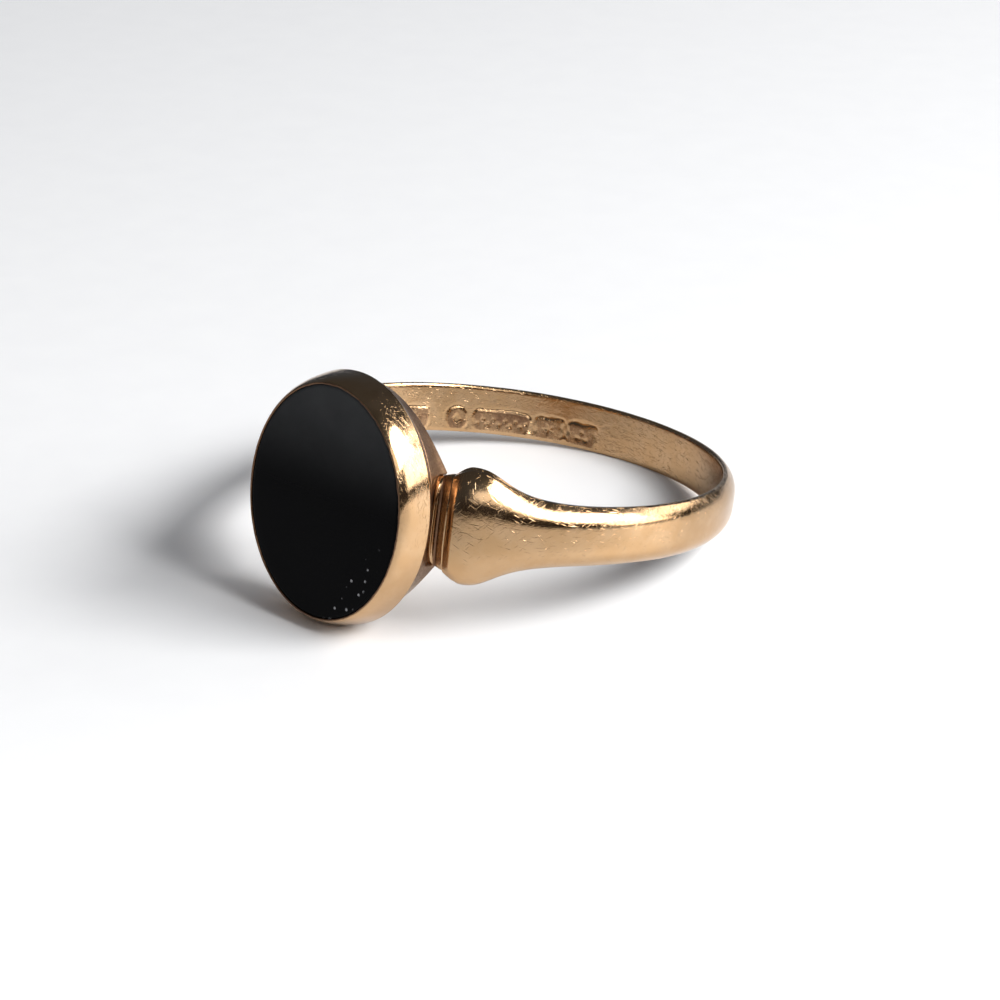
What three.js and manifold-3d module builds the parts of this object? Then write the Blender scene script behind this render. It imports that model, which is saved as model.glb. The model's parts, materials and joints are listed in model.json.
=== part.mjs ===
// A signet ring: an oval black onyx tablet held by a rubbed-over bezel, on a hoop whose shoulders flare
// up to the head. Millimetres, +Z up. The ring lies as it does when it is put down, on the lower edge of
// its head and the lower edge of the back of its hoop, with the head facing -Y.
import * as THREE from "three";
import { mergeVertices } from "three/addons/utils/BufferGeometryUtils.js";
import Module from "manifold-3d";

// The finger and the stone.
const BORE_RADIUS = 9.4; // the finger's size
const TABLE_HALF_WIDTH = 4.0; // the part of the tablet that shows, across the finger
const TABLE_HALF_LENGTH = 4.78; // and along the finger
const TABLET_THICKNESS = 1.1;
const TABLET_BEVEL_WIDTH = 0.2; // the tablet's edge slopes down under the lip by this much
const TABLET_BEVEL_DEPTH = 0.25;

// The head.
const LIP_WIDTH = 0.1; // the flat top of the rubbed-over lip
const BEZEL_SWELL = 0.6; // how far the control points of the domed side stand out from the table's edge
const BEZEL_FOOT = 0.32; // the bezel's foot, and the base plate's top, stand out from the table's edge
const LEDGE_WIDTH = 0.55;
const LEDGE_HEIGHT = 0.55;
const BASE_THICKNESS = 0.32; // at its thinnest, over the middle of the finger
const BASE_TAPER = 0.24; // the base plate's side draws in by this much for each millimetre down
const NECK_FLARE = 0.5; // at the bore it swells out again by this much towards each shoulder
const NECK_FLARE_REACH = 2.2; // and the swelling is half gone at this distance along the finger

// The neck between the head and each shoulder.
const SEAT_INSET = 0.4; // the collar's seat meets the bore this far inside the table's edge
const COLLAR_LENGTH = 0.62; // along the bore
const COLLAR_HALF_WIDTH = 1.96;
const COLLAR_STEP = 0.226; // its bead and the top of its cove stay this far below the base plate's top
const COLLAR_BEAD = 0.24; // and they stand this far above its groove
const COLLAR_DOME = 0.28; // its section is this much higher in the middle than at its sides

// The hoop. Lengths are measured along the bore from the start of the shoulder.
const NOSE_LENGTH = 0.72; // from the start of the shoulder to its widest point
const SHOULDER_LENGTH = 5.9;
const NECK_HALF_WIDTH = 2.03;
const SHOULDER_HALF_WIDTH = 2.37;
const BAND_HALF_WIDTH = 1.19;
const BACK_HALF_WIDTH = 1.12; // the band narrows to this at the back
const NECK_CROWN = 1.0; // thickness at the middle of the section
const SHOULDER_CROWN = 1.35;
const BAND_CROWN = 0.62;
const SHOULDER_SIDE = 0.62; // height of the sides
const BAND_SIDE = 0.15;
const SHOULDER_UNDERCUT = 0.25; // the shoulder's sides draw in by this much towards the finger
const FLARE_REACH = 1.65; // the flare is half gone at this distance from the widest point
const CROWN_REACH = 3.0; // and so is the extra thickness at this one

const SOLDER_GAP = 0.05; // between pieces that are soldered, cemented or rubbed together

// Fineness of the curved surfaces.
const OVAL_SEGMENTS = 72;
const BORE_SEGMENTS = 120;
const CROWN_SEGMENTS = 6; // for a quarter of the half-round crown
const DOME_SEGMENTS = 9;

// Worked out from the sizes above, in the ring's own frame: the finger runs along Z and the head faces -Y.
const tableRise = TABLET_THICKNESS + LEDGE_HEIGHT + BASE_THICKNESS + 2 * SOLDER_GAP;
const table = -(BORE_RADIUS + tableRise); // the height, along Y, of the tablet's flat face
const ledgeTop = table + TABLET_THICKNESS + SOLDER_GAP;
const bezelFoot = ledgeTop + LEDGE_HEIGHT;
const baseTop = bezelFoot + SOLDER_GAP;
const girdle = TABLE_HALF_WIDTH + TABLET_BEVEL_WIDTH; // the tablet's widest half width
const bezelInside = girdle + SOLDER_GAP;
const gapAngle = SOLDER_GAP / BORE_RADIUS;
const seatAngle = Math.asin((TABLE_HALF_WIDTH - SEAT_INSET) / BORE_RADIUS);
const collarStart = seatAngle + gapAngle;
const collarEnd = collarStart + COLLAR_LENGTH / BORE_RADIUS;
const shoulderStart = collarEnd + gapAngle;
const shoulderEnd = shoulderStart + SHOULDER_LENGTH / BORE_RADIUS;
const shankStart = shoulderEnd + gapAngle;
const collarGroove = -baseTop / Math.cos(collarStart) - BORE_RADIUS - COLLAR_STEP - COLLAR_BEAD;

const gold = new THREE.MeshStandardMaterial({ color: 0xd2a06c, roughness: 0.28, metalness: 1 });
const onyx = new THREE.MeshStandardMaterial({ color: 0x0b0b0d, roughness: 0.12, metalness: 0 });
const lac = new THREE.MeshStandardMaterial({ color: 0x3a241a, roughness: 0.8, metalness: 0 });

const wasm = await Module();
wasm.setup();

function solidOf(geometry) {
  const bare = geometry.clone();
  bare.deleteAttribute("normal");
  bare.deleteAttribute("uv");
  const merged = mergeVertices(bare, 1e-5);
  const vertProperties = merged.attributes.position.array;
  const triVerts = new Uint32Array(merged.index.array);
  return new wasm.Manifold(new wasm.Mesh({ numProp: 3, vertProperties, triVerts }));
}

function geometryOf(solid) {
  const mesh = solid.getMesh();
  const geometry = new THREE.BufferGeometry();
  geometry.setAttribute("position", new THREE.BufferAttribute(mesh.vertProperties, 3));
  geometry.setIndex(new THREE.BufferAttribute(mesh.triVerts, 1));
  geometry.computeVertexNormals();
  return geometry;
}

// Turns an outline of (distance from the head's axis, height along Y) round the head's axis, then
// stretches it along the finger, so that the circle at TABLE_HALF_WIDTH becomes the table's oval and
// everything outside it keeps its distance from that oval. An outline starts on the finger side and
// goes round by the outside, and the lathe takes it the other way to have its faces point out.
function ovalLathe(outline) {
  const points = outline.getPoints(DOME_SEGMENTS).reverse();
  const geometry = new THREE.LatheGeometry(points, OVAL_SEGMENTS);
  const position = geometry.attributes.position;
  const longer = TABLE_HALF_LENGTH - TABLE_HALF_WIDTH;
  for (let i = 0; i < position.count; i++) {
    const z = position.getZ(i);
    const r = Math.hypot(position.getX(i), z);
    const share = Math.min(1, r / TABLE_HALF_WIDTH);
    position.setZ(i, r ? z + (z / r) * longer * share : 0);
  }
  return geometry;
}

// Falls from 1 towards 0, half way down at the distance reach. A higher power falls more steeply there.
function falloff(distance, reach, power) {
  return 1 / (1 + (distance / reach) ** power);
}

// The hoop's section at an angle from the head: half its greatest width, how much narrower it is at the
// bore on each side, the height of its sides and its thickness at the crown.
function hoopSection(angle) {
  const along = (angle - shoulderStart) * BORE_RADIUS;
  const nose = Math.sin((Math.PI / 2) * Math.min(1, along / NOSE_LENGTH));
  const past = Math.max(0, along - NOSE_LENGTH);
  const band = THREE.MathUtils.lerp(BAND_HALF_WIDTH, BACK_HALF_WIDTH, angle / Math.PI);
  const flare = falloff(past, FLARE_REACH, 2.5);
  const extra = falloff(past, CROWN_REACH, 1.7);
  const halfWidth = THREE.MathUtils.lerp(band, SHOULDER_HALF_WIDTH, flare);
  const crown = THREE.MathUtils.lerp(BAND_CROWN, SHOULDER_CROWN, extra);
  return {
    halfWidth: halfWidth - (SHOULDER_HALF_WIDTH - NECK_HALF_WIDTH) * (1 - nose),
    undercut: SHOULDER_UNDERCUT * flare * nose,
    side: THREE.MathUtils.lerp(BAND_SIDE, SHOULDER_SIDE, extra),
    crown: crown - (SHOULDER_CROWN - NECK_CROWN) * (1 - nose),
  };
}

// The collar's section: a cove falls from the head, then one round bead and a groove before the shoulder.
function collarSection(angle) {
  const share = THREE.MathUtils.clamp((angle - collarStart) / (collarEnd - collarStart), 0, 1);
  const reeds = Math.cos(share * 3 * Math.PI) * 0.5 + 0.5;
  const crown = collarGroove + COLLAR_BEAD * reeds;
  return { halfWidth: COLLAR_HALF_WIDTH, undercut: 0, side: collarGroove - COLLAR_DOME, crown };
}

// Bends a D-shaped bar round the finger, from one angle to the other. The straight bar is 2 wide: its
// flat is for the finger, its sides are 1 high and its half-round crown is 1 high again.
function bentBar(from, to, steps, section) {
  const shape = new THREE.Shape();
  shape.moveTo(-1, 0);
  shape.lineTo(1, 0);
  shape.absarc(0, 1, 1, 0, Math.PI, false);
  const geometry = new THREE.ExtrudeGeometry(shape, {
    steps,
    depth: 1,
    bevelEnabled: false,
    curveSegments: CROWN_SEGMENTS,
  });
  const position = geometry.attributes.position;
  for (let i = 0; i < position.count; i++) {
    const angle = THREE.MathUtils.lerp(from, to, position.getZ(i));
    const { halfWidth, undercut, side, crown } = section(Math.min(Math.abs(angle), 2 * Math.PI - angle));
    const level = position.getY(i);
    const height = level <= 1 ? level * side : side + (level - 1) * (crown - side);
    const half = halfWidth - undercut * Math.max(0, 1 - level);
    const r = BORE_RADIUS + height;
    position.setXYZ(i, r * Math.sin(angle), -r * Math.cos(angle), half * position.getX(i));
  }
  geometry.computeVertexNormals();
  return geometry;
}

function onyxTablet() {
  const outline = new THREE.Path();
  outline.moveTo(0, table + TABLET_THICKNESS);
  outline.lineTo(girdle, table + TABLET_THICKNESS);
  outline.lineTo(girdle, table + TABLET_BEVEL_DEPTH);
  outline.lineTo(TABLE_HALF_WIDTH, table);
  outline.lineTo(0, table);
  return ovalLathe(outline);
}

// The outline of the bezel's domed side, from its foot up to its lip.
function domedSide(outline) {
  const edge = TABLE_HALF_WIDTH;
  const lip = edge + SOLDER_GAP + LIP_WIDTH;
  const height = bezelFoot - table;
  outline.lineTo(edge + BEZEL_FOOT, bezelFoot);
  outline.bezierCurveTo(
    edge + BEZEL_SWELL, bezelFoot - height * 0.1,
    edge + BEZEL_SWELL, table + height * 0.25,
    lip, table,
  );
}

function bezel() {
  const outline = new THREE.Path();
  outline.moveTo(bezelInside, bezelFoot);
  domedSide(outline);
  outline.lineTo(TABLE_HALF_WIDTH + SOLDER_GAP, table);
  outline.lineTo(bezelInside, table + TABLET_BEVEL_DEPTH);
  outline.lineTo(bezelInside, bezelFoot);
  return ovalLathe(outline);
}

function bearingLedge() {
  const inside = girdle - LEDGE_WIDTH;
  const outline = new THREE.Path();
  outline.moveTo(inside, bezelFoot);
  outline.lineTo(girdle, bezelFoot);
  outline.lineTo(girdle, ledgeTop);
  outline.lineTo(inside, ledgeTop);
  outline.lineTo(inside, bezelFoot);
  return ovalLathe(outline);
}

function settingCement() {
  const outline = new THREE.Path();
  const outside = girdle - LEDGE_WIDTH - SOLDER_GAP;
  outline.moveTo(0, bezelFoot);
  outline.lineTo(outside, bezelFoot);
  outline.lineTo(outside, ledgeTop);
  outline.lineTo(0, ledgeTop);
  return ovalLathe(outline);
}

// A long block past a radial plane at an angle from the head, as wide along the finger as asked.
function wasteBeyond(angle, width) {
  const reach = 2 * BORE_RADIUS;
  const waste = new THREE.BoxGeometry(reach, reach, width);
  waste.translate((Math.sign(angle) * reach) / 2, -BORE_RADIUS, 0);
  waste.rotateZ(angle);
  return solidOf(waste);
}

// An oval block that draws in below the bezel and swells out again to each shoulder. It is cut to the
// finger's curve underneath, notched on each side for the collar and ends where the shoulder starts.
function basePlate() {
  const top = TABLE_HALF_WIDTH + BEZEL_FOOT;
  const depth = BASE_THICKNESS + BORE_RADIUS * (1 - Math.cos(shoulderStart));
  const outline = new THREE.Path();
  outline.moveTo(0, baseTop + depth);
  outline.lineTo(top - depth * BASE_TAPER, baseTop + depth);
  outline.lineTo(top, baseTop);
  outline.lineTo(0, baseTop);
  const block = ovalLathe(outline);
  const position = block.attributes.position;
  for (let i = 0; i < position.count; i++) {
    const x = position.getX(i);
    const share = (position.getY(i) - baseTop) / depth;
    const flare = NECK_FLARE * share * falloff(Math.abs(position.getZ(i)), NECK_FLARE_REACH, 4);
    position.setX(i, x * (1 + flare / TABLE_HALF_WIDTH));
  }
  const length = 4 * TABLE_HALF_LENGTH;
  const bore = new THREE.CylinderGeometry(BORE_RADIUS, BORE_RADIUS, length, BORE_SEGMENTS);
  bore.rotateX(Math.PI / 2);
  let plate = solidOf(block).subtract(solidOf(bore));
  for (const side of [1, -1]) {
    plate = plate.subtract(wasteBeyond(side * seatAngle, 2 * (COLLAR_HALF_WIDTH + SOLDER_GAP)));
    plate = plate.subtract(wasteBeyond(side * collarEnd, length));
  }
  return geometryOf(plate);
}

// The tilt at which the ring comes to rest: a line from the lower outer edge of the back of the hoop to
// the lowest point of the bezel's domed side.
function restTilt() {
  const back = BORE_RADIUS + hoopSection(Math.PI).side;
  const outline = new THREE.Path();
  outline.moveTo(bezelInside, bezelFoot);
  domedSide(outline);
  const slopes = outline.getPoints(DOME_SEGMENTS).map((point) => {
    const below = point.x - TABLE_HALF_WIDTH + TABLE_HALF_LENGTH - hoopSection(Math.PI).halfWidth;
    return Math.atan2(below, back - point.y);
  });
  return Math.max(...slopes);
}

const ring = new THREE.Group();

function add(name, geometry, material) {
  const mesh = new THREE.Mesh(geometry, material);
  mesh.name = name;
  ring.add(mesh);
}

add("onyx_tablet", onyxTablet(), onyx);
add("bezel", bezel(), gold);
add("bearing_ledge", bearingLedge(), gold);
add("setting_cement", settingCement(), lac);
add("base_plate", basePlate(), gold);
add("collar_right", bentBar(collarStart, collarEnd, 18, collarSection), gold);
add("collar_left", bentBar(-collarEnd, -collarStart, 18, collarSection), gold);
add("shoulder_right", bentBar(shoulderStart, shoulderEnd, 26, hoopSection), gold);
add("shoulder_left", bentBar(-shoulderEnd, -shoulderStart, 26, hoopSection), gold);
add("shank", bentBar(shankStart, 2 * Math.PI - shankStart, 60, hoopSection), gold);

// Tilted to its rest, and then stood on the ground with the middle of its length and width at the origin.
ring.rotation.x = -restTilt();
const box = new THREE.Box3().setFromObject(ring, true);
const middle = box.getCenter(new THREE.Vector3());
ring.position.set(-middle.x, -middle.y, -box.min.z);

const part = new THREE.Group();
part.add(ring);

export default part;
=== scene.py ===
# %% [markdown]
# # A signet ring with an onyx tablet
# A jeweller builds this ring from a few pieces: a hoop whose shoulders flare towards the head, a little
# reeded collar on each side of the neck, a base plate that closes the head over the finger, and a bezel
# rubbed over a flat black stone. The imported model gives the place of every one of them, so we load it
# first.

# %% Load the frame
import json
import math

import bmesh
import bpy
from mathutils import Matrix, Vector, noise


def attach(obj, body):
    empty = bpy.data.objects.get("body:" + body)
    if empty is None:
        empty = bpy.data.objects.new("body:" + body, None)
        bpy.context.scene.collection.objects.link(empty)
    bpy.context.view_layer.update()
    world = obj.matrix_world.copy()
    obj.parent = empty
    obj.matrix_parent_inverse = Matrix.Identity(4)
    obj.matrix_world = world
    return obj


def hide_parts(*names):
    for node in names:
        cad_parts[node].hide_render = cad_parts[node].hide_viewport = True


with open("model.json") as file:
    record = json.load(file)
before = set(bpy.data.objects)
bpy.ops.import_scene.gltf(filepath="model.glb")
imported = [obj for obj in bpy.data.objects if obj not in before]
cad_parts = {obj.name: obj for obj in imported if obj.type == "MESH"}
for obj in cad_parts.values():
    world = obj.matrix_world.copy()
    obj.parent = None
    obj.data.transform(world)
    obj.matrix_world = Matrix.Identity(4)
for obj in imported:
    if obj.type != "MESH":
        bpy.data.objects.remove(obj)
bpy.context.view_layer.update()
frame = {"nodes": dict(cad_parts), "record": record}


# %% [markdown]
# ## The camera
# The ring lies tilted on the table, and we look down at it from in front of its head and to its right.
# A long lens from 11 cm away keeps the near shoulder from looking too big. The camera is aimed at a point
# inside the hoop and leans a little, as a camera held in the hand does.

# %% Camera
TARGET = Vector((0.000242, 0.000554, 0.001738))
AZIMUTH = math.radians(41.03)  # from straight in front of the head, towards the ring's right
ELEVATION = math.radians(25.40)
DISTANCE = 0.1128
LEAN = math.radians(0.65)
LENS = 93.06  # mm

sight = Vector((
    math.sin(AZIMUTH) * math.cos(ELEVATION),
    -math.cos(AZIMUTH) * math.cos(ELEVATION),
    math.sin(ELEVATION),
))
camera = bpy.data.objects.new("camera", bpy.data.cameras.new("camera"))
camera.data.lens = LENS
camera.data.sensor_width = 36
camera.data.clip_start = 0.005
camera.data.clip_end = 20
camera.location = TARGET + DISTANCE * sight
upright = sight.to_track_quat("Z", "Y").to_matrix()
camera.rotation_euler = (upright @ Matrix.Rotation(-LEAN, 3, "Z")).to_euler()
bpy.context.scene.collection.objects.link(camera)
bpy.context.scene.camera = camera
print("camera at", [round(1000 * value, 2) for value in camera.location], "mm")

# %% [markdown]
# ## The ring's own frame
# Nobody would want to draw a ring tilted. We model each piece in millimetres with the finger along Z and
# the head facing -Y, and one matrix then lays it on the table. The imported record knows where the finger
# and the table of the stone are, so the matrix comes from its two mounts.

# %% The matrix that lays a piece in its place
mounts = {mount["name"]: mount for mount in frame["record"]["mounts"]}
finger = Vector(mounts["finger"]["axis"]).normalized()
behind = -Vector(mounts["table"]["axis"]).normalized()
turn = Matrix((behind.cross(finger), behind, finger)).transposed().to_4x4()
lay = Matrix.Translation(mounts["finger"]["pos_m"]) @ turn @ Matrix.Scale(0.001, 4)
BORE = mounts["finger"]["dims"]["r_mm"]
print("bore radius", BORE, "mm, tilted", round(math.degrees(finger.angle((0, 0, 1))), 2), "degrees")

# %% [markdown]
# ## From a mesh in the workshop to a piece on the ring
# Every piece ends the same way: its outside is wobbled by a few thousandths of a millimetre, because worn
# gold never mirrors a straight line, its normals are made to point outwards, it is laid in its place and
# it is tied to the frame. The wobble is a fixed noise of the position, so that it runs on over a seam.

# %% Wear, and the last steps of every piece
def wobble(point, strength):
    broad = noise.noise(point / 1.5 + Vector((3.1, 0.7, 5.3)))
    fine = noise.noise(point / 0.45)
    return strength * (0.006 * broad + 0.0016 * fine)


def wear(bm, strength):
    bm.normal_update()
    moved = [(vert, vert.co + vert.normal * wobble(vert.co, strength)) for vert in bm.verts]
    for vert, place in moved:
        vert.co = place


def close_ends(bm):
    rims = [edge for edge in bm.edges if edge.is_boundary]
    if rims:
        caps = bmesh.ops.holes_fill(bm, edges=rims, sides=0)["faces"]
        for edge in rims:
            edge.smooth = False
        for face in bm.faces:
            face.smooth = face not in caps


def finish_piece(name, bm, material, slot, *nodes):
    bmesh.ops.recalc_face_normals(bm, faces=bm.faces)
    bmesh.ops.transform(bm, matrix=lay, verts=bm.verts)
    mesh = bpy.data.meshes.new(name)
    bm.to_mesh(mesh)
    bm.free()
    mesh.materials.append(material)
    piece = bpy.data.objects.new(name, mesh)
    bpy.context.scene.collection.objects.link(piece)
    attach(piece, "root")
    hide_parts(*nodes)
    print(name, "has", sum(len(face.vertices) - 2 for face in mesh.polygons), "triangles")


# %% [markdown]
# ## Gold
# Nine carat rose gold is a metal with a warm colour of its own. On an old ring it isn't one even mirror:
# hairline scratches cross it in all directions and little dings dull it. The scratches are stretched
# Voronoi cells: each cell makes one short fine line, and four layers at different angles make the tangle.
# They follow the surface, so they use the piece's own UV map, measured in millimetres. A brown comes from
# an attribute that each piece paints on its own mesh. It is dirt in the punch marks, and painted shade
# with some tarnish in the grooves, in the creases, at the stone's edge and on the walls under the head.

# %% Helpers for building a material
def new_material(name):
    material = bpy.data.materials.new(name)
    material.use_nodes = True
    return material, material.node_tree, material.node_tree.nodes["Principled BSDF"]


def add_node(tree, kind, **inputs):
    node = tree.nodes.new(kind)
    for name, value in inputs.items():
        socket = node.inputs[name.replace("_", " ")]
        if isinstance(value, bpy.types.NodeSocket):
            tree.links.new(value, socket)
        else:
            socket.default_value = value
    return node


def math_node(tree, operation, first, second=0.5, third=0.0, clamp=False):
    node = tree.nodes.new("ShaderNodeMath")
    node.operation = operation
    node.use_clamp = clamp
    for socket, value in zip(node.inputs, (first, second, third)):
        if isinstance(value, bpy.types.NodeSocket):
            tree.links.new(value, socket)
        else:
            socket.default_value = value
    return node.outputs[0]


def ramp(tree, value, low, high, to_low=0.0, to_high=1.0):
    node = add_node(tree, "ShaderNodeMapRange", Value=value)
    node.interpolation_type = "SMOOTHSTEP"
    for name, number in zip(("From Min", "From Max", "To Min", "To Max"), (low, high, to_low, to_high)):
        node.inputs[name].default_value = number
    return node.outputs[0]


def mix_colour(tree, factor, first, second):
    node = tree.nodes.new("ShaderNodeMix")
    node.data_type = "RGBA"
    for socket, value in zip((node.inputs[0], node.inputs[6], node.inputs[7]), (factor, first, second)):
        if isinstance(value, bpy.types.NodeSocket):
            tree.links.new(value, socket)
        else:
            socket.default_value = value
    return node.outputs[2]


print("material helpers ready")

# %% Millimetres on a piece, and one layer of scratches
def millimetres(tree):
    """Object coordinates in millimetres."""
    coordinates = tree.nodes.new("ShaderNodeTexCoord")
    mapping = add_node(tree, "ShaderNodeMapping", Vector=coordinates.outputs["Object"])
    mapping.inputs["Scale"].default_value = (1000, 1000, 1000)
    return mapping.outputs[0]


def surface_map(tree):
    """The piece's own UV map, in millimetres along and across it."""
    node = tree.nodes.new("ShaderNodeUVMap")
    node.uv_map = "surface"
    return node.outputs[0]


def scratches(tree, plane, angle, length, width, depth, offset):
    """Short fine lines, deepest in the middle of each, as a height between -depth and 0."""
    mapping = add_node(tree, "ShaderNodeMapping", Vector=plane)
    mapping.inputs["Location"].default_value = (offset, 1.7 * offset, 0)
    mapping.inputs["Rotation"].default_value = (0, 0, angle)
    stretched = add_node(tree, "ShaderNodeMapping", Vector=mapping.outputs[0])
    stretched.inputs["Scale"].default_value = (1 / length, 1 / (8 * width), 1)
    cells = add_node(tree, "ShaderNodeTexVoronoi", Vector=stretched.outputs[0])
    cells.voronoi_dimensions = "2D"
    cells.inputs["Scale"].default_value = 1
    return ramp(tree, cells.outputs["Distance"], 0.0, 0.13, -depth, 0.0)


print("scratch helper ready")


# %% Gold
ROSE = (0.50, 0.328, 0.183)
HEAD_ROSE = (0.49, 0.323, 0.183)
# the brown of tarnish and of painted shade
TARNISH_AND_SHADE_BROWN = (0.19, 0.105, 0.062, 1)
SCRATCHES = (  # angle, length, width and depth of each layer
    (0.25, 1.6, 0.010, 1.0), (-0.55, 1.1, 0.008, 0.8), (1.15, 0.9, 0.008, 0.7), (0.02, 2.4, 0.014, 0.7),
)


def worn_gold(name, colour, roughness, scratch_depth, ding_depth):
    material, tree, shader = new_material(name)
    place = millimetres(tree)
    plane = surface_map(tree)
    cloudy = add_node(tree, "ShaderNodeTexNoise", Vector=place, Scale=0.9, Detail=3.0, Roughness=0.6)
    speckle = add_node(tree, "ShaderNodeTexNoise", Vector=place, Scale=9.0, Detail=4.0, Roughness=0.65)
    # The painted attribute is dirt in the punch marks, and painted shade with some tarnish in grooves,
    # creases, lip and walls; here it browns and roughens the gold.
    tarnish_and_shade = tree.nodes.new("ShaderNodeAttribute")
    tarnish_and_shade.attribute_name = "tarnish_and_shade"
    patchy = math_node(tree, "MULTIPLY_ADD", speckle.outputs["Fac"], 0.9, -0.45)
    tarnish_and_shade_mask = math_node(tree, "ADD", tarnish_and_shade.outputs["Fac"], patchy)
    painted = ramp(tree, tarnish_and_shade.outputs["Fac"], 0.0, 0.15)
    tarnish_and_shade_mask = math_node(tree, "MULTIPLY", ramp(tree, tarnish_and_shade_mask, 0.12, 0.95), painted)
    paler = tuple(min(1, channel * 1.05) for channel in colour)
    redder = (colour[0] * 0.97, colour[1] * 0.93, colour[2] * 0.86)
    gold = mix_colour(tree, ramp(tree, cloudy.outputs["Fac"], 0.35, 0.65), (*redder, 1), (*paler, 1))
    gold = mix_colour(tree, tarnish_and_shade_mask, gold, TARNISH_AND_SHADE_BROWN)
    tree.links.new(gold, shader.inputs["Base Color"])
    shader.inputs["Metallic"].default_value = 1.0
    rough = ramp(tree, cloudy.outputs["Fac"], 0.3, 0.7, roughness * 0.75, roughness * 1.3)
    rough = math_node(tree, "MULTIPLY_ADD", ramp(tree, speckle.outputs["Fac"], 0.5, 0.75), 0.05, rough)
    rough = math_node(tree, "MULTIPLY_ADD", tarnish_and_shade_mask, 0.28, rough, clamp=True)
    tree.links.new(rough, shader.inputs["Roughness"])
    height = None
    for number, (angle, length, width, depth) in enumerate(SCRATCHES):
        layer = scratches(tree, plane, angle, length, width, depth, 3.7 * number)
        height = layer if height is None else math_node(tree, "ADD", height, layer)
    worn = ramp(tree, cloudy.outputs["Fac"], 0.35, 0.6, 0.35, 1.0)
    height = math_node(tree, "MULTIPLY", height, worn)
    scratched = add_node(tree, "ShaderNodeBump", Height=height, Distance=scratch_depth)
    ripple = add_node(tree, "ShaderNodeTexNoise", Vector=place, Scale=4.5, Detail=5.0, Roughness=0.62)
    dinged = add_node(tree, "ShaderNodeBump", Height=ripple.outputs["Fac"], Distance=ding_depth)
    tree.links.new(scratched.outputs[0], dinged.inputs["Normal"])
    tree.links.new(dinged.outputs[0], shader.inputs["Normal"])
    return material


hoop_gold = worn_gold("hoop_gold", ROSE, 0.15, 0.000006, 0.000010)
head_gold = worn_gold("head_gold", HEAD_ROSE, 0.13, 0.000003, 0.0000035)
print("two finishes of gold:", hoop_gold.name, head_gold.name)

# %% [markdown]
# ## The hoop's section
# Cut through the hoop and it is a D: flat for the finger, domed outside. Towards the head it gets wider
# and thicker, its sides spread a little towards the finger, and right at the neck it rounds down into a
# groove. One function gives the section at any angle from the head, so the shoulders and the shank flow
# into each other without a step.

# %% Section of the hoop
SEAT_DISTANCE = 3.6  # from the middle of the head to where a collar's seat meets the bore
SOLDER_GAP = 0.05
COLLAR_LENGTH, SHOULDER_LENGTH = 0.62, 5.9  # along the bore
SEAT = math.asin(SEAT_DISTANCE / BORE)
GAP = SOLDER_GAP / BORE
COLLAR_START = SEAT + GAP
COLLAR_END = COLLAR_START + COLLAR_LENGTH / BORE
SHOULDER_START = COLLAR_END + GAP
SHOULDER_END = SHOULDER_START + SHOULDER_LENGTH / BORE

NOSE_LENGTH, BROW_LENGTH = 0.72, 0.35  # from the shoulder's start to its full width, and to its full height
NOSE_TUCK, NOSE_DROP, BROW_DROP = 0.34, 0.12, 0.23  # how much narrower and lower its start is
BAND_HALF_WIDTH, BACK_HALF_WIDTH, SHOULDER_HALF_WIDTH = 1.19, 1.12, 2.37
BAND_CROWN, SHOULDER_CROWN = 0.62, 1.35  # thickness in the middle of the section
BAND_SIDE, SHOULDER_SIDE = 0.14, 0.52  # height of the section's widest line
SPREAD = 0.10  # of the shoulder's sides towards the finger
FLARE_REACH, CROWN_REACH = 1.65, 3.0  # the flare and the extra thickness are half gone this far on


def between(low, high, share):
    return low + (high - low) * share


def falloff(distance, reach, power):
    return 1 / (1 + (distance / reach) ** power)


def hoop_section(angle):
    """Half width, undercut, height of the widest line and height of the crown, at an angle from the head."""
    along = max(0, (angle - SHOULDER_START) * BORE)
    nose = math.sin(math.pi / 2 * min(1, along / NOSE_LENGTH))
    brow = math.sin(math.pi / 2 * min(1, along / BROW_LENGTH))
    past = max(0, along - NOSE_LENGTH)
    flare = falloff(past, FLARE_REACH, 2.5)
    extra = falloff(past, CROWN_REACH, 1.7)
    band = between(BAND_HALF_WIDTH, BACK_HALF_WIDTH, angle / math.pi)
    half_width = between(band, SHOULDER_HALF_WIDTH, flare) - NOSE_TUCK * (1 - nose)
    crown = between(BAND_CROWN, SHOULDER_CROWN, extra) - NOSE_DROP * (1 - nose) - BROW_DROP * (1 - brow)
    return half_width, -SPREAD * flare * nose, between(BAND_SIDE, SHOULDER_SIDE, extra), crown


for degrees in (27, 31, 45, 63, 180):
    print(degrees, "degrees:", [round(value, 3) for value in hoop_section(math.radians(degrees))])


# %% [markdown]
# ## Bending a bar round the finger
# We spin a plain circle round the finger, which gives a tidy tube of four-sided faces, and then put each
# vertex where the section says. Its turn round the finger gives the station, and its turn round the
# little circle says which point of the D it is: 0 at the crown, half a turn in the middle of the bore.
# Old rings are never sharp, so the dome meets the side in a rounded corner and the inner edges are eased.

# %% Helper: one point of a D section
DOME, FLANK, SIDE, EDGE = 0.38, 0.5, 0.6, 0.70  # shares of half a turn at which each part of the D ends
CORNER, FLATNESS = 0.18, 3.4  # radius of the rounded corner in mm, and how flat the dome's middle is
EASE = 0.65  # share of the side's height that the eased inner edge takes


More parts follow.
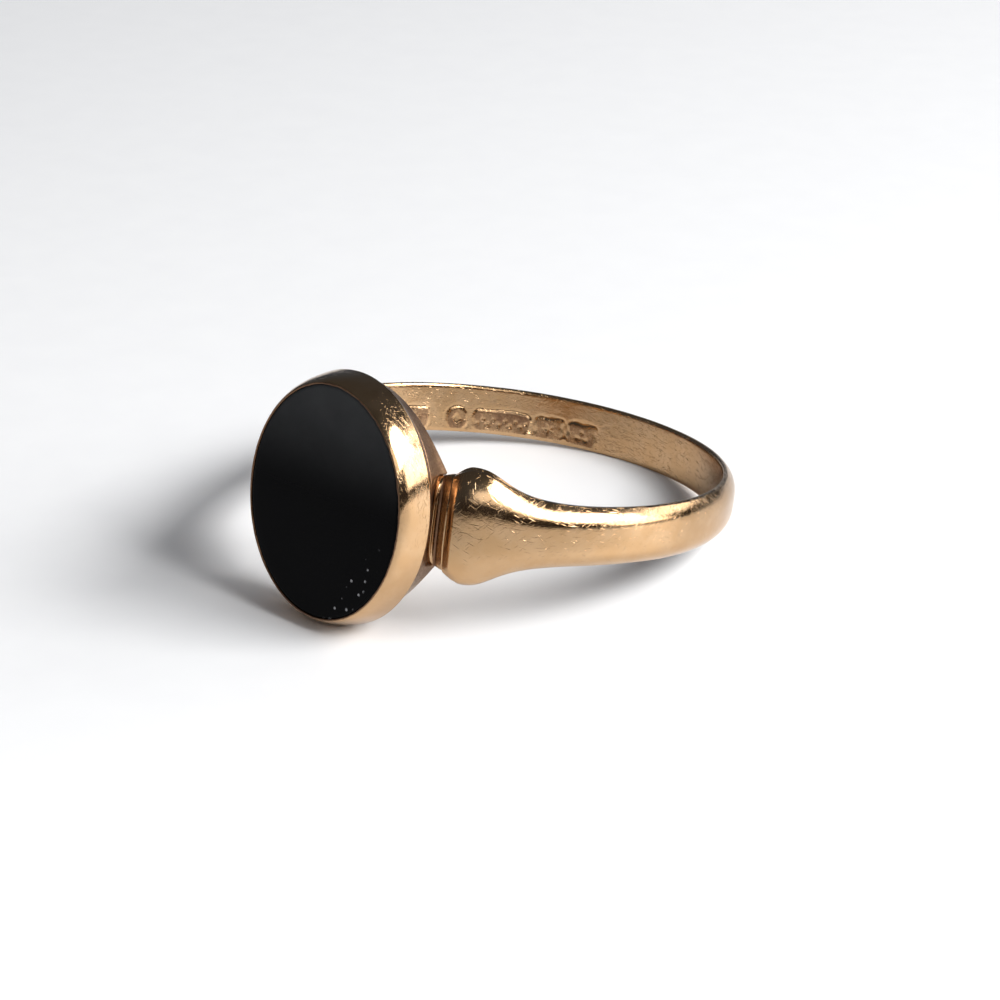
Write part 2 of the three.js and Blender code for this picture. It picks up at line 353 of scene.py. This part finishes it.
def d_point(section, around):
    half_width, undercut, side, crown = section
    share = abs(around) / math.pi
    edge = EASE * side
    foot = half_width - undercut
    lean, reach = math.radians(45), half_width
    for _ in range(3):  # the dome has to meet the corner without a crease, and a few rounds settle where
        reach = half_width - CORNER * (1 - math.sin(lean))
        rise = crown - side - CORNER * math.cos(lean)
        lean = math.atan(rise * FLATNESS / reach)
    if share < DOME:
        part = share / DOME
        across, height = reach * part, crown - rise * part ** FLATNESS
    elif share < FLANK:
        lean = between(lean, math.pi / 2, (share - DOME) / (FLANK - DOME))
        across, height = half_width - CORNER * (1 - math.sin(lean)), side + CORNER * math.cos(lean)
    elif share < SIDE:
        down = (share - FLANK) / (SIDE - FLANK)
        across, height = half_width - undercut * (1 - math.cos(down * math.pi / 2)), between(side, edge, down)
    elif share < EDGE:
        turn_ = (share - SIDE) / (EDGE - SIDE) * math.pi / 2
        across, height = foot - 2 * edge * (1 - math.cos(turn_)), edge * (1 - math.sin(turn_))
    else:
        across, height = (foot - 2 * edge) * (1 - share) / (1 - EDGE), 0.0
    return math.copysign(across, around), height


print("D section at the middle of the shoulder:", [round(v, 3) for v in d_point(hoop_section(0.7), 1.2)])


# %% Helper: the bent bar
def bent_bar(spans, segments, section, inside=None, tarnish_and_shade=None, strength=1.0):
    """spans lists (end angle, steps) after the start angle that comes first."""
    start, *rest = spans
    bm = bmesh.new()
    ring = bmesh.ops.create_circle(bm, cap_ends=False, segments=segments, radius=1)["verts"]
    stand = Matrix.Rotation(start, 4, "Z") @ Matrix.Translation((0, -BORE, 0))
    stand = stand @ Matrix.Rotation(math.pi / 2, 4, "Y")
    bmesh.ops.transform(bm, matrix=stand, verts=ring)
    last = list(bm.verts) + list(bm.edges)
    for end, steps in rest:
        last = bmesh.ops.spin(
            bm, geom=last, cent=(0, 0, 0), axis=(0, 0, 1), angle=end - start, steps=steps, use_merge=False,
        )["geom_last"]
        start = end
    paint = bm.verts.layers.float.new("tarnish_and_shade")
    where = {}
    for vert in bm.verts:
        angle = math.atan2(vert.co.x, -vert.co.y)
        if angle * start < 0:
            angle += math.copysign(2 * math.pi, start)
        around = math.atan2(vert.co.z, vert.co.xy.length - BORE)
        if abs(around) > math.pi - 1e-4:
            around = math.pi
        across, height = d_point(section(min(abs(angle), 2 * math.pi - abs(angle))), around)
        where[vert] = (angle * BORE, around)
        if inside and abs(around) > EDGE * math.pi:
            cut, dirt = inside(angle, across)
            height -= cut
            vert[paint] = dirt
        if tarnish_and_shade:
            vert[paint] = max(vert[paint], tarnish_and_shade(abs(angle)))
        radius = BORE + height
        vert.co = (radius * math.sin(angle), -radius * math.cos(angle), across)
    surface = bm.loops.layers.uv.new("surface")
    for face in bm.faces:
        first = where[face.loops[0].vert][1]
        for loop in face.loops:
            along, around = where[loop.vert]
            around += 2 * math.pi * round((first - around) / (2 * math.pi))
            loop[surface].uv = (along, 0.9 * around)
    wear(bm, strength)
    close_ends(bm)
    return bm


# %% [markdown]
# ## The shoulders
# Each shoulder starts in the groove beside the collar, swells to its widest in less than a millimetre and
# then thins out into the shank. Where it drops into the groove it is painted brown, painted shade with
# some tarnish. It reaches as far as the shank's end, so that no line shows where the two were soldered.

# %% Shoulders
# Painted shade with some tarnish, strongest where the shoulder starts in the groove and gone 0.45 mm on.
def nose_tarnish_and_shade(angle):
    along = (angle - SHOULDER_START) * BORE
    return 0.25 * max(0.0, 1 - along / 0.45)


for side, name in ((1, "right"), (-1, "left")):
    nose_end = SHOULDER_START + 0.8 / BORE
    spans = (side * SHOULDER_START, (side * nose_end, 26), (side * (SHOULDER_END + GAP), 70))
    bar = bent_bar(spans, 120, hoop_section, tarnish_and_shade=nose_tarnish_and_shade)
    finish_piece("flared_shoulder_" + name, bar, hoop_gold, "hoop_gold", "shoulder_" + name)

# %% [markdown]
# ## The punch marks
# Inside the hoop, on the left, the maker struck a row of little punches. The real ones tell about metal
# and maker, and ours stay plain: five hollows with two flowers, a lozenge, beads and pellets raised in
# them. A punch pushes metal aside, so each hollow has a soft rim. They are real
# hollows in the mesh, so we need a function that says how deep the bore is cut at a point.

# %% Depth of the punch marks
def rounded_box(x, y, half_x, half_y, corner):
    dx, dy = abs(x) - half_x + corner, abs(y) - half_y + corner
    return math.hypot(max(dx, 0), max(dy, 0)) + min(max(dx, dy), 0) - corner


def step_in(distance, soft):
    share = min(1, max(0, 0.5 - distance / soft))
    return share * share * (3 - 2 * share)


def lozenge(x, y):
    return (abs(x) * 1.2 + abs(y)) * 0.7 - 0.2


def flower(x, y):
    return math.hypot(x, y) - 0.2 - 0.07 * math.cos(5 * math.atan2(y, x))


def pellets(x, y):
    return min(math.hypot(abs(x) - 0.17, y + 0.13), math.hypot(x, y - 0.16)) - 0.13


def beads(x, y):
    cell = (x + 10 * 0.26) % 0.26 - 0.13
    shift = 0.11 if int((x + 2.6) / 0.26) % 2 else -0.11
    return math.hypot(cell, y - shift) - 0.11


PUNCHES = (  # degrees from the head to its middle, half its length and height in mm, corner, figure
    (-113.7, 0.62, 0.50, 0.22, flower),
    (-126.2, 0.47, 0.56, 0.46, lozenge),
    (-139.3, 1.34, 0.50, 0.30, beads),
    (-153.0, 0.62, 0.50, 0.16, flower),
    (-163.0, 0.66, 0.52, 0.12, pellets),
)
MARK_LINE = 0.50  # the row of marks lies this far below the middle of the bore
HOLLOW, RELIEF, BURR = 0.06, 0.045, 0.012  # depth of a hollow, height of its figure and of its rim
SPOTS = ((-147.3, -1.02, 0.17), (-157.9, -0.98, 0.16))  # two slips of a round punch


def punched(angle, across):
    """How deep the bore is cut, and how much dirt lies there."""
    cut = dirt = 0.0
    for degrees, half_x, half_y, corner, figure in PUNCHES:
        x, y = (angle - math.radians(degrees)) * BORE, across + MARK_LINE
        if abs(x) > half_x + 0.2:
            continue
        x += 0.05 * noise.noise(Vector((3 * x, 3 * y, degrees)))
        y += 0.07 * noise.noise(Vector((2 * x, 3 * y, -degrees)))
        edge = rounded_box(x, y, half_x, half_y, corner)
        worn = 0.75 + 0.5 * noise.noise(Vector((1.3 * x, 1.3 * y, degrees)))
        hollow = worn * step_in(edge, 0.20)
        raised = step_in(figure(x, y), 0.16) * step_in(edge + 0.12, 0.12)
        cut += HOLLOW * hollow - RELIEF * raised - BURR * math.exp(-(((edge - 0.11) / 0.07) ** 2))
        dirt = max(dirt, 0.75 * hollow * (1 - 0.5 * raised))
    for degrees, place, radius in SPOTS:
        away = math.hypot((angle - math.radians(degrees)) * BORE, across - place)
        cut += 0.05 * math.exp(-(((away - radius) / 0.06) ** 2))
    return cut, dirt


print("middle of the long panel is cut", round(punched(math.radians(-139.3), -0.5)[0], 3), "mm deep")

# %% [markdown]
# ## The shank
# The rest of the hoop is one slim bar that goes round the back. Its mesh is fine only along the punch
# marks, because the little hollows need it and the rest doesn't.

# %% Shank
shank_start = SHOULDER_END + GAP
turns = [-shank_start, (math.radians(-108), 45), (math.radians(-169), 230), (shank_start - 2 * math.pi, 150)]
shank = bent_bar(turns, 160, hoop_section, inside=punched)
finish_piece("marked_shank", shank, hoop_gold, "hoop_gold", "shank")

# %% [markdown]
# ## The collars
# Between head and shoulder sits a short reeded collar: one fine bead beside the head, then a groove, then
# a slope that climbs to the shoulder. It is the same bent bar, but its crown goes up and down along its
# length, and what is low is painted brown, painted shade with some tarnish. It runs a little way into the
# base plate, as solder does.

# %% Collars
# Height of the crown, and how much brown is painted on it (painted shade with some tarnish), from the head to
# the shoulder
NECK = [0.76, 0.86, 0.90, 0.80, 0.67, 0.65, 0.72, 0.80, 0.87, 0.94, 1.0]
NECK_TARNISH_AND_SHADE = [0.5, 0.2, 0.0, 0.35, 0.9, 0.95, 0.6, 0.4, 0.3, 0.25, 0.2]


def along_neck(angle, values):
    place = min(1, max(0, (angle - COLLAR_START) / (COLLAR_END - COLLAR_START))) * (len(values) - 1)
    first = min(int(place), len(values) - 2)
    return between(values[first], values[first + 1], step_in(first + 0.5 - place, 1))


def collar_section(angle):
    rise = step_in(COLLAR_START + 0.6 * (COLLAR_END - COLLAR_START) - angle, COLLAR_END - COLLAR_START)
    return between(1.86, 2.03, rise), 0.0, between(0.26, 0.32, rise), along_neck(angle, NECK)


def collar_tarnish_and_shade(angle):
    return along_neck(angle, NECK_TARNISH_AND_SHADE)


for side, name in ((1, "right"), (-1, "left")):
    spans = (side * (SEAT - GAP), (side * (COLLAR_END + 0.9 * GAP), 64))
    bar = bent_bar(spans, 96, collar_section, tarnish_and_shade=collar_tarnish_and_shade, strength=0.5)
    finish_piece("reeded_collar_" + name, bar, head_gold, "head_gold", "collar_" + name)

# %% [markdown]
# ## Turning the head's pieces
# Bezel, base plate and stone are ovals, and a jeweller would turn or stamp them. We draw half of the
# section, spin it round the head's axis and stretch it along the finger. Everything outside the table's
# edge keeps its distance from it, so the walls stay as thick at the ends as at the sides.

# %% Helper: an oval lathe
TABLE = -11.47  # height of the stone's face along Y
HALF_WIDTH, LONGER = 4.0, 0.78  # of the table, and how much longer than wide each half is
MEAN_RADIUS = 4.6  # of the head's outline, which turns an angle into millimetres


def lathe(profile, segments):
    """Spins points of (distance from the head's axis, height along Y) into a closed surface."""
    bm = bmesh.new()
    verts = [bm.verts.new((r, y, 0)) for r, y in profile]
    edges = [bm.edges.new(pair) for pair in zip(verts, verts[1:])]
    bmesh.ops.spin(
        bm, geom=verts + edges, cent=(0, 0, 0), axis=(0, 1, 0),
        angle=2 * math.pi, steps=segments, use_merge=True,
    )
    bmesh.ops.remove_doubles(bm, verts=bm.verts, dist=1e-5)
    for face in bm.faces:
        face.smooth = True
    return bm


def stretch(x, z):
    r = math.hypot(x, z)
    return z + z / r * LONGER * min(1, r / HALF_WIDTH) if r else z


def map_oval(bm):
    """A UV map round the oval and up its side, in millimetres."""
    surface = bm.loops.layers.uv.new("surface")
    for face in bm.faces:
        first = math.atan2(face.loops[0].vert.co.z, face.loops[0].vert.co.x)
        for loop in face.loops:
            x, y, z = loop.vert.co
            turn_ = math.atan2(z, x)
            turn_ += 2 * math.pi * round((first - turn_) / (2 * math.pi))
            loop[surface].uv = (turn_ * MEAN_RADIUS, y - TABLE + 0.7 * math.hypot(x, z))


print("the table is", 2 * HALF_WIDTH, "by", 2 * (HALF_WIDTH + LONGER), "mm")

# %% [markdown]
# ## The bezel
# The bezel's outside is a soft dome that ends at a crisp ridge above the neck. At the stone the metal was
# rubbed over with a burnisher, which leaves a thin, slightly ragged lip. The ragged lip is worth the
# trouble: it is what glints along the edge of the stone.

# %% Bezel
DOME_POINTS = 26
RIDGE = Vector((4.52, TABLE + 1.42))


def bezier(points, share):
    a, b, c, d = points
    back = 1 - share
    return back ** 3 * a + 3 * back * back * share * b + 3 * back * share * share * c + share ** 3 * d


def dome_profile():
    lip = Vector((4.13, TABLE + 0.004))
    hull = (RIDGE, Vector((4.475, TABLE + 1.08)), Vector((4.38, TABLE + 0.24)), lip)
    dome = [bezier(hull, number / DOME_POINTS) for number in range(DOME_POINTS + 1)]
    foot = ((4.25, 1.80), (4.30, 1.76))
    ridge = ((4.36, 1.63), (4.42, 1.53), (4.48, 1.455), (4.505, 1.435))
    edge = ((4.10, -0.008), (4.065, 0.006), (4.05, 0.04), (4.25, 0.28))
    below, above = ([Vector((r, TABLE + y)) for r, y in points] for points in (foot + ridge, edge))
    return below + dome + above


profile = dome_profile()
bezel = lathe(profile + [profile[0]], 480)
paint = bezel.verts.layers.float.new("tarnish_and_shade")
for vert in bezel.verts:
    x, y, z = vert.co
    r = math.hypot(x, z)
    lip = max(0, 1 - math.hypot(r - 4.09, y - TABLE) / 0.12)
    ragged = 0.022 * noise.noise(Vector((x, z, 0)) * 3.2) + 0.012 * noise.noise(Vector((x, z, 4)) * 9)
    r += lip * ragged
    # Painted shade with some tarnish: brown on the foot behind the ridge, beside the collars, and on the lip
    # where it meets the stone.
    neck = step_in(abs(z) - 2.0, 0.6) * step_in(1.5 - (y - TABLE), 0.15)
    flank = 0.75 * step_in(TABLE + 1.5 - y, 0.1)
    vert[paint] = max(0.7 * neck, flank, 0.9 * step_in(r - 4.14, 0.05) if lip > 0 else 0)
    turn_ = math.atan2(z, x)
    vert.co = (r * math.cos(turn_), y + lip * 0.5 * ragged, stretch(r * math.cos(turn_), r * math.sin(turn_)))
map_oval(bezel)
wear(bezel, 0.8)
finish_piece("rubbed_bezel", bezel, head_gold, "head_gold", "bezel")

# %% [markdown]
# ## The base plate
# Under the bezel the head draws in, then swells out again to the shoulders, and the plate closes it with
# a smooth hollow for the finger. Seen from above it is still an oval, so it comes from the same lathe.
# The lathe's profile only counts the rows here: the rows of the wall run from the bezel down to the bore,
# and the rows of the two ends run in to the middle. The outline has a notch for each collar, so the last
# rows of an end ease it into a plain oval, and no crease runs on to the middle.

# %% Base plate
BASE_TOP = -9.72
WALL_ROWS, END_ROWS = 16, 22
WALL_TOP, WALL_DEPTH, TAPER = 4.30, 1.36, 0.24  # the wall draws in by TAPER for each millimetre down
NECK_FLARE, NECK_FLARE_REACH = 0.5, 2.2  # at the bore it swells out again towards the shoulders
NOTCH_HALF_WIDTH = 1.90
OVAL_HALF_WIDTH, OVAL_HALF_LENGTH, OVAL_SHARE = 3.4, 4.2, 0.88  # the plain oval inside each end
INSET = 0.985


def wall_point(turn_, share):
    """A point of the plate's wall: share 0 is under the bezel and 1 is at the bore."""
    y = BASE_TOP
    for _ in range(6):  # the wall's length depends on where it meets the bore, so a few rounds settle it
        down = max(0, y - BASE_TOP)
        r = WALL_TOP - TAPER * down - 0.05 * math.sin(math.pi * min(1, down / WALL_DEPTH))
        x, z = r * math.cos(turn_), stretch(r * math.cos(turn_), r * math.sin(turn_))
        x *= 1 + NECK_FLARE * down / WALL_DEPTH * falloff(abs(z), NECK_FLARE_REACH, 4) / HALF_WIDTH
        beside = step_in(NOTCH_HALF_WIDTH - abs(z), 0.10)
        limit = between(math.tan(SEAT + GAP), math.tan(COLLAR_END), beside)
        x = math.copysign(min(abs(x), -y * limit), x)
        floor = -math.sqrt(BORE ** 2 - x * x)
        y = between(BASE_TOP, floor, share)
    return x, y, z


rows = [(number / END_ROWS, -1.0) for number in range(END_ROWS)]
rows += [(1.0, -1.0 + number / WALL_ROWS) for number in range(WALL_ROWS + 1)]
rows += [(1 - number / END_ROWS, 0.0) for number in range(1, END_ROWS + 1)]
plate = lathe(rows, 480)
paint = plate.verts.layers.float.new("tarnish_and_shade")
for vert in plate.verts:
    r, share = math.hypot(vert.co.x, vert.co.z), vert.co.y + 1
    turn_ = math.atan2(vert.co.z, vert.co.x)
    x, y, z = wall_point(turn_, min(share, 0.97))
    if r < 0.9999:
        shrink, rim = min(1, r / OVAL_SHARE), max(0, (r - OVAL_SHARE) / (1 - OVAL_SHARE))
        x = between(OVAL_HALF_WIDTH * math.cos(turn_) * shrink, x * INSET, rim)
        z = between(OVAL_HALF_LENGTH * math.sin(turn_) * shrink, z * INSET, rim)
        y = BASE_TOP if share < 0.5 else -math.sqrt(BORE ** 2 - x * x)
    # Painted shade with some tarnish on the plate's wall: brown all round, easing off towards the -Z end.
    vert[paint] = 0.75 - 0.4 * step_in(z + 3, 2) if r > 0.9999 else 0
    vert.co = (x, y, z)
map_oval(plate)
wear(plate, 1.0)
finish_piece("head_base", plate, head_gold, "head_gold", "base_plate")

# %% [markdown]
# ## The stone
# The tablet is black onyx, flat on top, with a narrow slope round its edge that the lip holds down. It is
# so dark that only the polish shows, and a painted sheen lightens its upper half. A few grains of dust lie
# in a band low on it, and they are part of the finish, not of the shape.

# %% Onyx
material, tree, shader = new_material("onyx")
place = millimetres(tree)
sheen_and_roughness_noise = add_node(tree, "ShaderNodeTexNoise", Vector=place, Scale=0.5, Detail=2.0)
grains = add_node(tree, "ShaderNodeTexVoronoi", Vector=place, Scale=2.4)
position = add_node(tree, "ShaderNodeSeparateXYZ", Vector=place).outputs
slant = math_node(tree, "SUBTRACT", position["X"], math_node(tree, "MULTIPLY", position["Z"], 0.55))
beside = math_node(tree, "ABSOLUTE", math_node(tree, "SUBTRACT", slant, 0.8), 0)
low = ramp(tree, position["Z"], 4.0, 4.5, 1.0, 0.0)
swept = math_node(tree, "MULTIPLY", ramp(tree, beside, 0.4, 0.6, 1.0, 0.0), low)
dust = math_node(tree, "MULTIPLY", ramp(tree, grains.outputs["Distance"], 0.10, 0.2, 1.0, 0.0), swept)
# painted sheen: clouds of dark grey lighten the black towards the top of the stone
cloud = ramp(tree, sheen_and_roughness_noise.outputs["Fac"], 0.2, 0.8, 0.7, 1.0)
painted_sheen = math_node(tree, "MULTIPLY", ramp(tree, position["Z"], 5.5, 10.2), cloud)
black = mix_colour(tree, painted_sheen, (0.0015, 0.0015, 0.0018, 1), (0.055, 0.056, 0.058, 1))
tree.links.new(mix_colour(tree, dust, black, (0.35, 0.35, 0.36, 1)), shader.inputs["Base Color"])
tree.links.new(ramp(tree, sheen_and_roughness_noise.outputs["Fac"], 0.3, 0.7, 0.18, 0.24), shader.inputs["Roughness"])
shader.inputs["IOR"].default_value = 1.54
shader.inputs["Specular IOR Level"].default_value = 0.035
haze = add_node(tree, "ShaderNodeTexNoise", Vector=place, Scale=12.0, Detail=3.0)
polish = add_node(tree, "ShaderNodeBump", Height=haze.outputs["Fac"], Distance=0.0000004)
tree.links.new(polish.outputs[0], shader.inputs["Normal"])
onyx = material
print("onyx ready")

# %% Tablet
outline = [(0, TABLE + 1.1), (3.0, TABLE + 1.1), (4.15, TABLE + 1.1), (4.2, TABLE + 1.05), (4.2, TABLE + 0.3)]
outline += [(4.185, TABLE + 0.25), (4.06, TABLE + 0.08), (4.01, TABLE + 0.022), (3.96, TABLE + 0.004)]
outline += [(3.9, TABLE), (3.5, TABLE), (2.5, TABLE), (1.5, TABLE), (0.6, TABLE), (0, TABLE)]
tablet = lathe(outline, 288)
for vert in tablet.verts:
    vert.co.z = stretch(vert.co.x, vert.co.z)
finish_piece("onyx_stone", tablet, onyx, "onyx", "onyx_tablet")

# %% [markdown]
# ## What the head hides
# The ledge under the stone and the cement that beds it are closed in by the other pieces. The packed
# model's own shapes are right for them, so they only get a finish: bright gold straight from the file for
# the ledge and dull brown shellac for the cement.

# %% Ledge and cement
material, tree, shader = new_material("filed_gold")
place = millimetres(tree)
filed = add_node(tree, "ShaderNodeTexNoise", Vector=place, Scale=6.0, Detail=4.0)
bright = mix_colour(tree, filed.outputs["Fac"], (0.70, 0.43, 0.24, 1), (0.80, 0.53, 0.32, 1))
tree.links.new(bright, shader.inputs["Base Color"])
shader.inputs["Metallic"].default_value = 1.0
tree.links.new(ramp(tree, filed.outputs["Fac"], 0.3, 0.7, 0.3, 0.5), shader.inputs["Roughness"])
file_marks = add_node(tree, "ShaderNodeBump", Height=filed.outputs["Fac"], Distance=0.00001)
tree.links.new(file_marks.outputs[0], shader.inputs["Normal"])
frame["nodes"]["bearing_ledge"].data.materials.clear()
frame["nodes"]["bearing_ledge"].data.materials.append(material)

material, tree, shader = new_material("shellac")
place = millimetres(tree)
lumps = add_node(tree, "ShaderNodeTexNoise", Vector=place, Scale=2.5, Detail=5.0)
brown = mix_colour(tree, lumps.outputs["Fac"], (0.035, 0.016, 0.008, 1), (0.09, 0.045, 0.02, 1))
tree.links.new(brown, shader.inputs["Base Color"])
tree.links.new(ramp(tree, lumps.outputs["Fac"], 0.3, 0.7, 0.45, 0.75), shader.inputs["Roughness"])
lumpy = add_node(tree, "ShaderNodeBump", Height=lumps.outputs["Fac"], Distance=0.00004)
tree.links.new(lumpy.outputs[0], shader.inputs["Normal"])
frame["nodes"]["setting_cement"].data.materials.clear()
frame["nodes"]["setting_cement"].data.materials.append(material)
print("ledge and cement finished")

# %% [markdown]
# ## The table and the light
# The ring lies on plain white, under one strong soft light above and to the right and three weaker ones
# round it, with a dim room all round. Polished metal shows nothing but its surroundings, so the dim room matters as much as the light:
# without it the gold would look flat.

# %% Floor
bm = bmesh.new()
bmesh.ops.create_grid(bm, x_segments=1, y_segments=1, size=1.5)
mesh = bpy.data.meshes.new("floor")
bm.to_mesh(mesh)
bm.free()
floor = bpy.data.objects.new("floor", mesh)
bpy.context.scene.collection.objects.link(floor)
material, tree, shader = new_material("white_table")
grain = add_node(tree, "ShaderNodeTexNoise", Vector=millimetres(tree), Scale=0.4, Detail=3.0)
white = mix_colour(tree, grain.outputs["Fac"], (0.86, 0.86, 0.865, 1), (0.90, 0.90, 0.90, 1))
tree.links.new(white, shader.inputs["Base Color"])
shader.inputs["Roughness"].default_value = 0.35
shader.inputs["Specular IOR Level"].default_value = 0.4
mesh.materials.append(material)
print("floor laid")


# %% Lights
LIGHT_DISTANCE = 0.6


def softbox(name, azimuth, elevation, width, height, power):
    """A rectangular light that faces the ring. Azimuth is measured like the camera's."""
    turn_, rise = math.radians(azimuth), math.radians(elevation)
    away = Vector((math.sin(turn_) * math.cos(rise), -math.cos(turn_) * math.cos(rise), math.sin(rise)))
    light = bpy.data.objects.new(name, bpy.data.lights.new(name, "AREA"))
    light.data.shape = "RECTANGLE"
    light.data.size, light.data.size_y = width, height
    light.data.energy = power
    light.location = LIGHT_DISTANCE * away
    light.rotation_euler = away.to_track_quat("Z", "Y").to_euler()
    bpy.context.scene.collection.objects.link(light)


for name, azimuth, elevation, width, height, radiance in (
    ("window", 108, 40, 0.42, 0.26, 17.0),
    ("window_sill", 118, 17, 0.34, 0.19, 5.0),
    ("back_window", 155, 28, 0.36, 0.20, 3.2),
    ("side_window", 64, 36, 0.50, 0.22, 1.8),
):
    softbox(name, azimuth, elevation, width, height, math.pi * radiance * width * height)

world = bpy.data.worlds.new("room")
bpy.context.scene.world = world
world.use_nodes = True
tree = world.node_tree
direction = tree.nodes.new("ShaderNodeTexCoord").outputs["Generated"]
axes = add_node(tree, "ShaderNodeSeparateXYZ", Vector=direction)
upper = ramp(tree, axes.outputs["Z"], 0.1, 0.75)
across_room = ramp(tree, axes.outputs["X"], -0.5, 0.3)
walls = mix_colour(tree, across_room, (0.075, 0.095, 0.13, 1), (0.04, 0.034, 0.032, 1))
room = mix_colour(tree, upper, walls, (0.075, 0.08, 0.09, 1))
tree.links.new(room, tree.nodes["Background"].inputs[0])
tree.nodes["Background"].inputs[1].default_value = 1.0
bpy.context.scene.view_settings.view_transform = "Standard"
